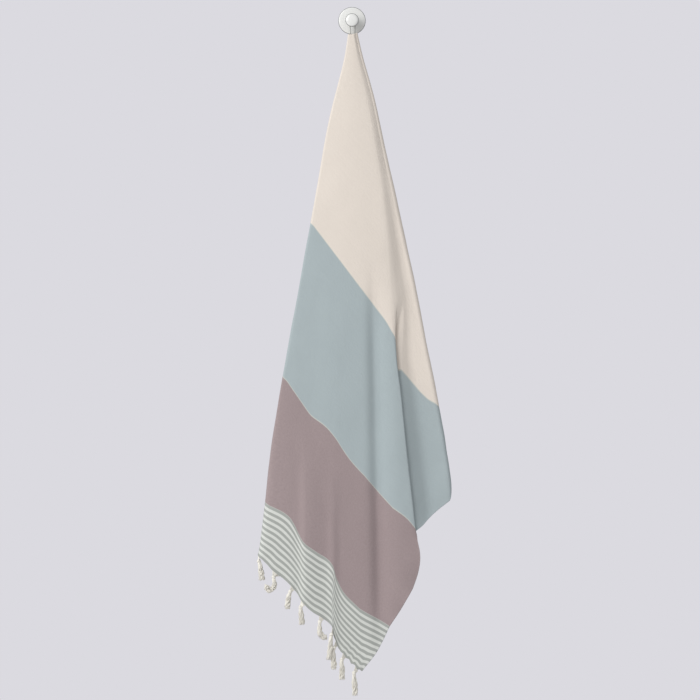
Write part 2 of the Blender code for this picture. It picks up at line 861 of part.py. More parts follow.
def main():
    for item in list(bpy.data.objects):
        bpy.data.objects.remove(item, do_unlink=True)
    plastic = add_material("hook_white", (0.80, 0.80, 0.79), 0.25)
    tape = add_material("loop_white", (0.76, 0.75, 0.72), 0.85)
    cotton = add_material("towel_cotton", (0.74, 0.68, 0.60), 0.92)
    yarn = add_material("fringe_ecru", (0.72, 0.67, 0.56), 0.92)
    build_rosette(plastic)
    build_knob(plastic)
    build_loop(tape)
    build_cloth(cotton)
    build_fringe("fringe_front", 1, yarn)
    build_fringe("fringe_back", -1, yarn)


main()
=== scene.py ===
"""Looks of a hammam towel on a round wall hook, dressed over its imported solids.

The cloth hangs from the middle of a long side.  A point of it has a cloth
angle (0 to 180 degrees, from the length direction of the flat cloth) and a
reach (distance from the hanging point).  Tables are in millimetres.
"""
import math

import bpy  # noqa: E402
import numpy as np  # noqa: E402
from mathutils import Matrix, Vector, noise  # noqa: E402


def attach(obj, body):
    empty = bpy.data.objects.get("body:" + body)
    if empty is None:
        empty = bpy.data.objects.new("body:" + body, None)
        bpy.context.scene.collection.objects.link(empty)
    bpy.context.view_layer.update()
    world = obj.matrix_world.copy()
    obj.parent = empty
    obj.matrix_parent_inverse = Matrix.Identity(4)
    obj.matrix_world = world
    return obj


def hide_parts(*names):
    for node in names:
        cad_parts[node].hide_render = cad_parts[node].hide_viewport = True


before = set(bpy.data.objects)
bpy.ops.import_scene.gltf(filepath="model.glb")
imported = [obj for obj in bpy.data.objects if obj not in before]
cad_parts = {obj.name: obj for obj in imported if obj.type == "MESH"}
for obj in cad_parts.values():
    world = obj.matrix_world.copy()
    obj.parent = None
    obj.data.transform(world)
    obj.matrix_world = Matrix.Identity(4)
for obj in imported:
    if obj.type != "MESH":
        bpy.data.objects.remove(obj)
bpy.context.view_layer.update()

MM = 0.001

# the photograph: millimetres to a pixel, pixel of the hook's centre
PIXEL = 1.927
HOOK_PIXEL = (352.0, 19.2)
PHOTO_SIDE = 700

# camera, in metres: distance from the wall of the camera and of the towel's
# front, where the photograph's scale holds; its sensor in millimetres
CAMERA_AWAY = 12.0
TOWEL_FRONT = 0.06
SENSOR_WIDTH = 36.0
CLIP_END = 100.0

# light of the room, and a soft lamp on the left, in metres and watts
SKY_LIGHT = 0.58
SKY_TINT = (0.97, 0.98, 1.0, 1.0)
BACKGROUND_LIGHT = 1.0
KEY_POWER = 342.0
KEY_SIZE = 5.5
KEY_PLACE = (-4.5, -4.65, 1.95)
KEY_TARGET = (0.0, 0.0, -0.6)

# floor, in metres
FLOOR_SIDES = 64
FLOOR_RADIUS = 20.0
FLOOR_HEIGHT = -2.5

# cloth: its size when flat, the share of its thickness that its edges have,
# the hanging point and the reach at which the mesh starts
HALF_LENGTH = 900.0
WIDTH = 900.0
THICKNESS = 1.0
EDGE_THINNING = 0.55
HANG_POINT = Vector((-3.9, 0.0, -26.6))
TOP_REACH = 1.2
TINY = 1e-6

# points of one reach lie on an arc about a point this far over the hanging one
ARC_CENTRE = 27.0

# up to these reaches, at these cloth angles, the hung cloth keeps the flat
# cloth's lengths
EVEN_ANGLES = (56.6, 59.7)
EVEN_REACHES = (578.0, 700.0)

# round turns at the folds: half of a turn's cloth angle, its steps and the
# part of it that they span, greatest width in all, at single folds and as a
# share of the layer before; growth of the left fold's turn, between reaches
TURN_ANGLE = 0.7
TURN_STEPS = 6
TURN_KEPT = 0.999
TURN_WIDTH = 12.0
TURN_WIDTHS = {2: 1.6, 3: 3.0, 5: 6.0}
TURN_SHARE = 0.3
LEFT_TURN_GROWTH = 7.0
LEFT_TURN_REACHES = (720.0, 920.0)

# near the top the main fold is an open valley: cloth angles and reaches
VALLEY_START = 55.91
VALLEY_END = 63.79
VALLEY_REACHES = (520.0, 660.0)
VALLEY_GROWTH = (180.0, 480.0)
VALLEY_BEND = 1.6

# rows of the mesh: distances from the top and from the hanging edge, even
# steps between; cloth angles that a column keeps
TOP_ROWS = (0.0, 2.0, 5.0)
FOOT_ROWS = (6.0, 3.2, 2.0, 0.8, 0.0)
EVEN_START = 10.0
EVEN_END = 11.0
ROW_STEPS = 138
CORNERS = (45.0, 135.0)

# unevenness of the cloth: size and height of its two parts, reaches between
# which it grows
WIDE_PUCKER = (95.0, 0.9)
SMALL_PUCKER = (34.0, 0.35)
PUCKER_SHIFT = 500.0
PUCKER_REACHES = (60.0, 300.0)

# waves of the long side, of the fringed ends and of the front corner: height,
# way into the cloth, length
SIDE_WAVE, SIDE_WAVE_DEPTH = 1.9, 16.0
SIDE_WAVE_LENGTH, SIDE_WAVE_CHANGE = 13.0, 41.0
END_WAVE, END_WAVE_DEPTH = 1.1, 9.0
CORNER_WAVE, CORNER_WAVE_DEPTH = 2.8, 20.0
CORNER_WAVE_LENGTH = 3.6
CORNER_WAVE_START = (800.0, 850.0)

# beads of the hems: thickness, distance from the edge, half of the width
END_BEAD = (0.7, 2.2, 1.6)
SIDE_BEAD = (0.5, 2.0, 1.6)
HUNG_HEM = 4.0

# fringe: tassels, their roots at the edge, and how those hang that have no
# places of their own; row above the edge that gives the way out of it
TASSELS_PER_END = 18
FRONT_FRINGE_SHIFT = 8.0
TASSEL_ROOT = 4.5
TASSEL_START = -0.6
TASSEL_LENGTH = 48.0
TASSEL_UNEVEN = 0.12
TASSEL_SWAY, TASSEL_SWAY_CHANGE = -0.03, 0.02
TASSEL_SHARES = ((0.1, 0.3), (0.4, 0.6), (1.0, 1.0))
TASSEL_LEAN = 3.0
TASSEL_STEPS = 40
OUT_ROW = -7
AHEAD = 0.03

# warp threads that gather into a tassel's knot: their spread at the edge,
# its share at the knot, start in the cloth, rise on the way, radii
GATHERED = 11
GATHERED_SPREAD = 11.0
GATHERED_KEPT = 0.26
GATHERED_START = 0.8
GATHERED_RISE, GATHERED_FALL = 0.6, 0.05
GATHERED_RADII = (0.55, 0.66, 0.8)
YARN_SIDES = 4

# knot: share of the way down, turn of the bundle round itself, and core as
# places along it with radii
KNOT_PLACE, KNOT_CHANGE = 0.21, 0.02
WRAP_STEPS = 24
WRAP_TURNS = 1.35
WRAP_AWAY = 2.5
WRAP_LENGTH = 3.8
WRAP_RADIUS = 1.7
CORE_PLACES = (-3.4, -1.6, 0.0, 1.6, 3.4)
CORE_RADII = (1.8, 2.8, 3.2, 2.8, 2.2)
WRAP_SIDES, CORE_SIDES = 7, 8

# loose ends below the knot: turn from one to the next, length, spread at the
# knot and its growth, radius and its loss on the way, crimp
LOOSE_ENDS = 34
LOOSE_STEPS = 12
LOOSE_TURN = 2.399
LOOSE_GAP = 0.03
LOOSE_LENGTH, LOOSE_UNEVEN = 0.93, 0.07
LOOSE_SPREAD, LOOSE_GROWTH = 2.2, 3.2
LOOSE_RADIUS, LOOSE_THINNING = 0.92, 0.18
CRIMPS, CRIMP_CHANGE, CRIMP_GROWTH = 15.0, 3.0, 3.0

# front tassels that show, by number: places down each tassel, sideways from
# its root and down from it
TASSEL_PLACES = {
    9: ((5.0, 10.0), (6.5, 20.0), (8.0, 31.0), (9.5, 42.0)),
    10: ((3.0, 11.0), (4.0, 20.0), (0.0, 28.0), (-6.0, 31.0), (-11.0, 27.0), (-9.0, 20.0)),
    11: ((-1.5, 10.0), (-3.5, 19.5), (-4.5, 29.0), (-4.5, 37.5)),
    12: ((1.0, 10.0), (2.0, 20.0), (3.0, 30.0), (3.5, 39.0)),
    13: ((0.0, 9.0), (0.0, 18.0), (1.5, 27.0), (6.5, 33.5), (14.5, 33.5)),
    14: ((1.0, 14.0), (0.0, 28.0), (-1.0, 42.0), (-2.0, 55.0)),
    15: ((-0.5, 10.0), (-0.5, 22.0), (0.0, 35.0), (0.5, 48.0)),
    16: ((1.0, 11.0), (2.0, 22.0), (2.0, 33.0), (1.0, 45.0)),
    17: ((1.5, 12.0), (2.5, 25.0), (3.0, 38.0), (3.0, 50.0)),
}

# hook and tape; a thin grey ring of painted shade lies outside each bevel's radius, for the
# shade at the rims
ROSETTE_RADIUS = 26.5
ROSETTE_DEPTH = 7.0
NECK_RADIUS = 5.5
HEAD_RADIUS = 13.0
HEAD_FRONT = 36.0
HEAD_DEPTH = 8.5
PLATE_BEVEL = 25.5
HEAD_BEVEL = 11.9
SEAT_GAP = 0.3
ROUND_STEPS = 96
TAPE_WIDTH = 8.0
TAPE_THICKNESS = 1.7
TAPE_MIDDLE = -20.0
TAPE_SIDES = 24
TAPE_SQUARE, TAPE_ROUND = 0.35, 0.6

# loop: places of its legs, sideways and up, and its arc over the neck
LEFT_LEG = ((-2.4, -29.7), (-2.5, -26.0), (-3.0, -20.0), (-3.9, -12.5))
RIGHT_LEG = ((6.1, -12.5), (5.9, -20.0), (5.3, -25.0), (5.0, -28.2))
ARC_START = 197.0
ARC_SWEEP = 214.0
ARC_STEPS = 28

# bands from the middle of the cloth to its ends, in metres; FIRST_DARK is in
# stripe pitches, STRIPE_PLACE the share of the way from the mauve to the edge
BLUE_START = 0.3285
MAUVE_START = 0.592
STRIPE_START = 0.808
STRIPE_PITCH = 0.00961
FIRST_DARK = 0.29
BAND_SOFT = 0.0009
LIGHT_LINES = ((BLUE_START, 0.0014), (MAUVE_START, 0.0018))
STRIPE_PLACE = (STRIPE_START / MM - MAUVE_START / MM) / (HALF_LENGTH - MAUVE_START / MM)

# reach, left fold, main fold, right fold, back limit, stack depth, wall gap
OUTLINE = np.array((
    (0, -3.0, 7.0, 13.5, 12.5, 24.0, 10.0),
    (50, -11.0, 15.0, 25.0, 21.0, 25.0, 9.0),
    (100, -23.0, 26.0, 38.8, 36.0, 28.0, 8.0),
    (140, -33.0, 34.0, 49.0, 45.0, 31.0, 7.0),
    (200, -46.0, 45.0, 61.5, 57.0, 36.0, 6.5),
    (280, -59.5, 57.5, 79.0, 72.0, 42.0, 6.0),
    (380, -77.0, 68.5, 100.0, 92.0, 48.0, 6.0),
    (460, -91.5, 73.5, 117.5, 107.0, 52.0, 6.0),
    (540, -105.5, 80.0, 133.5, 121.0, 56.0, 6.0),
    (630, -121.5, 89.0, 150.5, 137.0, 60.0, 6.0),
    (720, -137.5, 100.0, 168.0, 153.0, 63.0, 6.0),
    (830, -154.0, 111.0, 187.0, 160.0, 65.0, 6.0),
    (925, -164.0, 122.0, 198.5, 150.0, 66.0, 6.0),
    (970, -169.5, 128.0, 199.5, 132.0, 66.0, 6.2),
    (1010, -175.0, 137.0, 200.0, 118.0, 66.0, 6.5),
    (1050, -181.0, 141.5, 200.0, 118.0, 66.0, 6.8),
    (1090, -187.5, 142.0, 200.0, 128.0, 66.0, 7.1),
    (1150, -196.5, 148.0, 200.0, 150.0, 65.0, 7.5),
    (1240, -208.0, 152.0, 200.0, 170.0, 64.0, 8.0),
), float)
LEFT, MAIN, RIGHT, LIMIT, STACK, WALL = range(1, 7)

# cloth angle, share of the way across the front at the blue band, at the
# mauve band, at the stripes and at the hanging edge
FRONT = np.array((
    (28.7, 0.0, 0.0, 0.0, 0.0),
    (29.5, 0.030, 0.034, 0.087, 0.037),
    (30.4, 0.057, 0.061, 0.143, 0.074),
    (31.6, 0.091, 0.097, 0.179, 0.150),
    (33.5, 0.149, 0.155, 0.220, 0.232),
    (35.0, 0.196, 0.202, 0.261, 0.277),
    (36.1, 0.232, 0.237, 0.330, 0.325),
    (37.2, 0.269, 0.279, 0.401, 0.396),
    (38.5, 0.314, 0.358, 0.443, 0.455),
    (39.4, 0.345, 0.405, 0.456, 0.465),
    (40.3, 0.378, 0.439, 0.468, 0.478),
    (41.8, 0.434, 0.485, 0.497, 0.502),
    (43.0, 0.479, 0.516, 0.531, 0.544),
    (44.6, 0.541, 0.563, 0.600, 0.613),
    (46.4, 0.613, 0.622, 0.684, 0.722),
    (48.1, 0.683, 0.685, 0.765, 0.792),
    (50.0, 0.763, 0.766, 0.843, 0.872),
    (52.0, 0.849, 0.861, 0.920, 0.940),
    (54.0, 0.938, 0.949, 0.982, 0.990),
    (55.9, 1.0, 1.0, 1.0, 1.0),
), float)

# second layer: share of its cloth, share of its width at the blue band and
# at the hem
SECOND = np.array((
    (0.0, 0.0, 0.0),
    (0.07, 0.47, 0.07),
    (0.25, 0.585, 0.27),
    (0.50, 0.728, 0.54),
    (0.62, 0.792, 0.625),
    (0.74, 0.848, 0.728),
    (0.86, 0.902, 0.840),
    (1.0, 1.0, 1.0),
), float)
SECOND_REACHES = (650.0, 930.0)
MAUVE_CLEAR = 2.0
LEAST_SPAN = 0.1

# cloth angle, outline column, share of the way to it, inset, inset share
FOLDS = (
    (0.0, MAIN, 0.14, 0.0, 0.0),
    (12.0, MAIN, 0.70, 0.0, 0.0),
    (28.0, MAIN, 0.0, 0.0, 0.0),
    (56.6, MAIN, 1.0, 0.0, 0.0),
    (59.0, MAIN, 1.0, -5.0, -0.050),
    (64.5, RIGHT, 1.0, 0.0, 0.0),
    (88.0, LIMIT, 0.06, 0.0, 0.0),
    (104.0, LIMIT, 0.95, 0.0, 0.0),
    (120.0, LIMIT, 0.10, 0.0, 0.0),
    (146.0, LIMIT, 0.90, 0.0, 0.0),
    (162.0, LIMIT, 0.08, 0.0, 0.0),
    (180.0, LIMIT, 0.78, 0.0, 0.0),
)

# layers between the folds: depth rank, share of the front's relief, columns
LAYERS = (
    (0.38, 0.50, 12),
    (0.28, 0.60, 12),
    (0.00, 1.00, 104),
    (0.05, 1.0, 4),
    (0.10, 0.95, 26),
    (0.48, 0.45, 16),
    (0.585, 0.40, 14),
    (0.69, 0.35, 14),
    (0.795, 0.30, 18),
    (0.90, 0.20, 14),
    (1.00, 0.10, 12),
)
FRONT_LAYER = 2
SECOND_LAYER = 4

# cloth angle, share of the flat reach that the hanging edge keeps
SLACK = np.array((
    (0.0, 1.0),
    (28.0, 1.002),
    (31.5, 1.003),
    (36.5, 1.0),
    (38.5, 0.993),
    (40.0, 0.991),
    (45.0, 0.967),
    (48.0, 0.947),
    (52.0, 0.943),
    (56.6, 0.900),
    (58.0, 0.925),
    (61.2, 0.945),
    (62.7, 0.929),
    (64.0, 0.916),
    (64.5, 0.903),
    (70.0, 0.900),
    (90.0, 0.92),
    (120.0, 0.93),
    (180.0, 0.93),
), float)

# creases of the front: sideways place at two reaches, height toward the
# front at both, width to the left and to the right, start, end
CREASE_REACHES = (450.0, 1100.0)
CREASES = (
    (44.5, 56.5, -7.6, -8.2, 12.0, 27.0, 420.0, 620.0),
    (66.0, 78.0, 0.8, 1.6, 12.0, 45.0, 420.0, 620.0),
    (-87.0, -85.0, 8.0, 6.0, 10.0, 30.0, 740.0, 980.0),
    (-31.0, -33.0, 4.0, 3.0, 9.0, 9.0, 800.0, 1040.0),
)

# toward the hanging edge the creases keep only a share of their height
CREASE_END = (1060.0, 1180.0)
CREASE_KEPT = 0.35

# second layer: share of its shown width, share of its fall toward the wall
SECOND_FALL = np.array((
    (0.0, 0.0),
    (0.08, 0.19),
    (0.20, 0.53),
    (0.32, 0.87),
    (0.43, 1.01),
    (0.60, 1.02),
    (1.0, 0.95),
), float)
SECOND_DROP = 0.20

# open valley: share of its width, share of the fall to its far side
VALLEY = np.array((
    (0.0, 0.0),
    (0.12, 0.05),
    (0.28, 0.24),
    (0.48, 0.60),
    (0.66, 0.90),
    (0.84, 1.01),
    (1.0, 1.0),
), float)

# bulge of the whole front by reach
BULGE = np.array((
    (0.0, 0.0),
    (100.0, 2.0),
    (300.0, 3.5),
    (600.0, 4.0),
    (900.0, 4.0),
    (1240.0, 4.0),
), float)


# ---------------------------------------------------------------- the drape

def smooth_step(value, start, end):
    share = np.clip((value - start) / (end - start), 0.0, 1.0)
    return share * share * (3.0 - 2.0 * share)


def curve(table, value, column=1):
    """Rounded interpolation in a table whose first column rises."""
    place, height = table[:, 0], table[:, column]
    last = len(place) - 1
    value = np.clip(value, place[0], place[last])
    low = np.clip(np.searchsorted(place, value, side="right") - 1, 0, last - 1)
    high = low + 1
    before = np.maximum(low - 1, 0)
    after = np.minimum(high + 1, last)
    span = place[high] - place[low]
    share = (value - place[low]) / span
    start = (height[high] - height[before]) / (place[high] - place[before]) * span
    end = (height[after] - height[low]) / (place[after] - place[low]) * span
    square, cube = share * share, share ** 3
    return (
        (2 * cube - 3 * square + 1) * height[low]
        + (cube - 2 * square + share) * start
        + (3 * square - 2 * cube) * height[high]
        + (cube - square) * end
    )


def even_reach(angle):
    """Reach to which the hung cloth keeps the flat cloth's lengths."""
    return float(np.interp(angle, EVEN_ANGLES, EVEN_REACHES))


def flat_reach(angle):
    turn = math.radians(angle)
    along, across = abs(math.cos(turn)), math.sin(turn)
    reaches = []
    if along > TINY:
        reaches.append(HALF_LENGTH / along)
    if across > TINY:
        reaches.append(WIDTH / across)
    return min(reaches)


def hung_reach(angle):
    return flat_reach(angle) * float(np.interp(angle, SLACK[:, 0], SLACK[:, 1]))


def fold_place(index, reach):
    _, column, share, inset, inset_share = FOLDS[index]
    left = curve(OUTLINE, reach, LEFT)
    place = left + share * (curve(OUTLINE, reach, column) - left)
    return place + inset + inset_share * reach


def band_reach(angle, away):
    """Reach at which a band's edge crosses the line of a cloth angle."""
    hung, flat, start = hung_reach(angle), flat_reach(angle), even_reach(angle)
    even = away / abs(math.cos(math.radians(angle)))
    if even <= start:
        return even
    return start + (even - start) * (hung - start) / (flat - start)


def front_share(angle, reach):
    shares = [float(curve(FRONT, angle, column)) for column in (1, 2, 3, 4)]
    blue = band_reach(angle, BLUE_START / MM)
    edge = hung_reach(angle)
    mauve = min(band_reach(angle, MAUVE_START / MM), edge - MAUVE_CLEAR)
    stripes = mauve + (edge - mauve) * STRIPE_PLACE
    return np.interp(reach, (blue, mauve, stripes, edge), shares)


def second_share(share, reach):
    upper, lower = (float(np.interp(share, SECOND[:, 0], SECOND[:, i])) for i in (1, 2))
    return np.interp(reach, SECOND_REACHES, (upper, lower))


def relief(side, reach):
    """Bulge and creases of the front."""
    left = curve(OUTLINE, reach, LEFT)
    right = curve(OUTLINE, reach, MAIN)
    middle, half = (left + right) / 2.0, (right - left) / 2.0
    across = np.minimum(np.abs(side - middle) / half, 1.0)
    height = curve(BULGE, reach) * (1.0 - across * across)
    down = (reach - CREASE_REACHES[0]) / (CREASE_REACHES[1] - CREASE_REACHES[0])
    kept = 1.0 - (1.0 - CREASE_KEPT) * smooth_step(reach, *CREASE_END)
    for upper, lower, rise, low_rise, before, after, start, end in CREASES:
        grown = smooth_step(reach, start, end) * (1.0 + (low_rise / rise - 1.0) * down)
        away = side - (upper + (lower - upper) * down)
        width = np.where(away < 0.0, before, after)
        height = height + rise * grown * kept * np.exp(-((away / width) ** 2))
    return height


def second_fall(side, reach):
    inner = curve(OUTLINE, reach, MAIN)
    span = np.maximum(curve(OUTLINE, reach, RIGHT) - inner, LEAST_SPAN)
    share = np.clip((side - inner) / span, 0.0, 1.0)
    return SECOND_DROP * span * curve(SECOND_FALL, share)


def layer_depth(layer, side, reach):
    rank, follow, _ = LAYERS[layer]
    depth = curve(OUTLINE, reach, WALL) + (1.0 - rank) * curve(OUTLINE, reach, STACK)
    depth = depth + follow * relief(side, reach)
    if layer == SECOND_LAYER:
        depth = depth - second_fall(side, reach)
    return depth


def turned_place(index, angle, reach):
    """Sideways place and depth on the round turn at a fold."""
    place = fold_place(index, reach)
    start = fold_place(index - 1, reach)
    before = layer_depth(index - 1, place, reach)
    after = layer_depth(index, place, reach)
    radius = np.abs(before - after) / 2.0
    turn = (angle - FOLDS[index][0]) / TURN_ANGLE * math.pi / 2.0
    squeeze = np.minimum(radius, TURN_SHARE * np.abs(place - start))
    widest = TURN_WIDTHS.get(index, TURN_WIDTH)
    if index == FRONT_LAYER:
        widest = widest + LEFT_TURN_GROWTH * smooth_step(reach, *LEFT_TURN_REACHES)
    squeeze = np.minimum(squeeze, widest)
    side = place - np.sign(place - start) * squeeze * (1.0 - math.cos(turn))
    return side, (before + after) / 2.0 + (after - before) / 2.0 * math.sin(turn)


def section_place(angle, reach):
    side, depth = folded_place(angle, reach)
    if not VALLEY_START < angle < VALLEY_END:
        return side, depth
    near, near_depth = folded_place(VALLEY_START, reach)
    far, far_depth = folded_place(VALLEY_END, reach)
    share = (angle - VALLEY_START) / (VALLEY_END - VALLEY_START)
    grown = smooth_step(reach, *VALLEY_GROWTH)
    fall = float(curve(VALLEY, share)) * grown + share ** VALLEY_BEND * (1.0 - grown)
    open_side = near + share * (far - near)
    open_depth = near_depth + (far_depth - near_depth) * fall
    closed = smooth_step(reach, *VALLEY_REACHES)
    return (
        side * closed + open_side * (1.0 - closed),
        depth * closed + open_depth * (1.0 - closed),
    )


def folded_place(angle, reach):
    for index in range(1, len(FOLDS) - 1):
        if abs(angle - FOLDS[index][0]) < TURN_ANGLE:
            return turned_place(index, angle, reach)
    layer = next(
        (i for i in range(len(LAYERS)) if angle <= FOLDS[i + 1][0]), len(LAYERS) - 1
    )
    last = len(LAYERS) - 1
    low = FOLDS[layer][0] + (TURN_ANGLE if layer > 0 else 0.0)
    high = FOLDS[layer + 1][0] - (TURN_ANGLE if layer < last else 0.0)
    start = fold_place(0, reach)
    if layer > 0:
        start = turned_place(layer, low, reach)[0]
    end = fold_place(len(FOLDS) - 1, reach)
    if layer < last:
        end = turned_place(layer + 1, high, reach)[0]
    share = (angle - low) / (high - low)
    if layer == FRONT_LAYER:
        share = front_share(angle, reach)
    if layer == SECOND_LAYER:
        share = second_share(share, reach)
    side = start + share * (end - start)
    return side, layer_depth(layer, side, reach)


def cloth_points(angle, reach):
    """Points of the cloth's middle at one angle and an array of reaches."""
    side, depth = section_place(angle, reach)
    drop = reach - side * side / (2.0 * (reach + ARC_CENTRE))
    return np.stack(
        (HANG_POINT.x + side, HANG_POINT.y - depth, HANG_POINT.z - drop), axis=-1
    )


def flat_place(angle, reach):
    """Place on the flat cloth: along its length from the middle, across."""
    hung, flat, start = hung_reach(angle), flat_reach(angle), even_reach(angle)
    stretch = (flat - start) / (hung - start)
    even = np.where(reach > start, start + (reach - start) * stretch, reach)
    turn = math.radians(angle)
    return even * math.cos(turn), even * math.sin(turn)


def cloth_angles():
    angles = [FOLDS[0][0]]
    last = len(LAYERS) - 1
    for layer, (_, _, inner) in enumerate(LAYERS):
        low = FOLDS[layer][0] + (TURN_ANGLE if layer > 0 else 0.0)
        high = FOLDS[layer + 1][0] - (TURN_ANGLE if layer < last else 0.0)
        angles += [low + (high - low) * i / (inner + 1) for i in range(1, inner + 1)]
        if layer < last:
            fold = FOLDS[layer + 1][0]
            for part in range(TURN_STEPS + 1):
                turn = 2.0 * part / TURN_STEPS - 1.0
                angles.append(fold + turn * TURN_ANGLE * TURN_KEPT)
    angles.append(FOLDS[-1][0])
    for corner in CORNERS:
        near = min(range(len(angles)), key=lambda i: abs(angles[i] - corner))
        angles[near] = corner
    return angles


def row_shares(length):
    """Shares of the way down: even steps, closer together at both ends."""
    top = [place / length for place in TOP_ROWS]
    foot = [1.0 - place / length for place in FOOT_ROWS]
    middle = np.linspace(EVEN_START / length, 1.0 - EVEN_END / length, ROW_STEPS)
    return np.array(top + list(middle) + foot)


def soft_noise(points, size):
    return np.array([noise.noise(Vector(p) / size) for p in points])


def pucker(along, across):
    """Small unevenness of the cloth, by place on the flat cloth."""
    flat = np.stack((along, across, np.zeros_like(along)), axis=-1).reshape(-1, 3)
    wide = soft_noise(flat, WIDE_PUCKER[0]) * WIDE_PUCKER[1]
    small = soft_noise(flat + PUCKER_SHIFT, SMALL_PUCKER[0]) * SMALL_PUCKER[1]
    return (wide + small).reshape(along.shape)


def ruffles(along, across):
    """Slight waves of the long side and of the fringed ends."""
    side = np.exp(-(WIDTH - across) / SIDE_WAVE_DEPTH)
    end = np.exp(-(HALF_LENGTH - np.abs(along)) / END_WAVE_DEPTH)
    change = np.sin(along / SIDE_WAVE_CHANGE)
    pitch = WIDTH / TASSELS_PER_END
    return (
        SIDE_WAVE * side * np.sin(along / SIDE_WAVE_LENGTH + change)
        + END_WAVE * end * np.cos(2.0 * math.pi * across / pitch)
    )


def corner_wave(along, across):
    """Short waves of the front corner's stripes, up and down."""
    low = np.exp(-(HALF_LENGTH - along) / CORNER_WAVE_DEPTH)
    near = smooth_step(across, *CORNER_WAVE_START) * low
    wave = np.sin((across - CORNER_WAVE_START[0]) / CORNER_WAVE_LENGTH)
    return CORNER_WAVE * near * wave * (along > 0.0)


def grid_normals(grid):
    down = np.gradient(grid, axis=0)
    over = np.gradient(grid, axis=1)
    normals = np.cross(over, down)
    return normals / np.linalg.norm(normals, axis=-1, keepdims=True)


def cloth_grid(angles):
    """Points and flat places of the whole cloth, rows down, columns around."""
    points, along, across = [], [], []
    for angle in angles:
        length = hung_reach(angle)
        reach = TOP_REACH + row_shares(length - TOP_REACH) * (length - TOP_REACH)
        points.append(cloth_points(angle, reach))
        u, v = flat_place(angle, reach)
        along.append(u)
        across.append(v)
    grid = np.stack(points, axis=1)
    along, across = np.stack(along, axis=1), np.stack(across, axis=1)
    grown = smooth_step(np.hypot(along, across), *PUCKER_REACHES)
    out = pucker(along, across) * grown + ruffles(along, across)
    grid = grid + grid_normals(grid) * out[..., None]
    grid[..., 2] += corner_wave(along, across)
    return grid, along, across


def bead(distance, height, middle, half_width):
    return height * np.exp(-((distance - middle) / half_width) ** 2)


def edge_beads(along, across):
    """Extra thickness along the ends and the sewn long sides."""
    end = HALF_LENGTH - np.abs(along)
    side = np.where(across > HUNG_HEM, WIDTH - across, across)
    return bead(end, *END_BEAD) + bead(side, *SIDE_BEAD)


# ------------------------------------------------------------- mesh helpers

def new_piece(name, vertices, faces, material):
    mesh = bpy.data.meshes.new(name)
    mesh.from_pydata([tuple(v) for v in vertices], [], faces)
    mesh.validate()
    mesh.materials.append(material)
    mesh.polygons.foreach_set("use_smooth", [True] * len(mesh.polygons))
    mesh.update()
    piece = bpy.data.objects.new(name, mesh)
    bpy.context.scene.collection.objects.link(piece)
    return piece


def vector_attribute(piece, name, values):
    attribute = piece.data.attributes.new(name, "FLOAT_VECTOR", "POINT")
    attribute.data.foreach_set("vector", np.asarray(values, np.float32).ravel())


def sheet_faces(rows, columns):
    """Faces of a closed sheet: its front, its back and its four rims."""
    size = rows * columns
    faces = []
    for row in range(rows - 1):
        for column in range(columns - 1):
            a = row * columns + column
            b, c, d = a + 1, a + columns + 1, a + columns
            faces.append((a, b, c, d))
            faces.append((size + d, size + c, size + b, size + a))
    for row in range(rows - 1):
        a, b = row * columns, (row + 1) * columns
        faces.append((a, b, size + b, size + a))
        a, b = a + columns - 1, b + columns - 1
        faces.append((b, a, size + a, size + b))
    for column in range(columns - 1):
        a = column
        faces.append((a + 1, a, size + a, size + a + 1))
        a = (rows - 1) * columns + column
        faces.append((a, a + 1, size + a + 1, size + a))
    return faces


def build_cloth(material):
    angles = cloth_angles()
    grid, along, across = cloth_grid(angles)
    normals = grid_normals(grid)
    half = (THICKNESS / 2.0 + edge_beads(along, across) / 2.0)[..., None]
    half[-1] *= EDGE_THINNING
    half[:, 0] *= EDGE_THINNING
    half[:, -1] *= EDGE_THINNING
    front = (grid + normals * half).reshape(-1, 3)
    back = (grid - normals * half).reshape(-1, 3)
    vertices = np.concatenate((front, back)) * MM
    faces = sheet_faces(*grid.shape[:2])
    piece = new_piece("towel", vertices, faces, material)
    flat = np.stack((along, across, np.zeros_like(along)), axis=-1).reshape(-1, 3) * MM
    vector_attribute(piece, "cloth", np.concatenate((flat, flat)))
    return piece, angles, grid


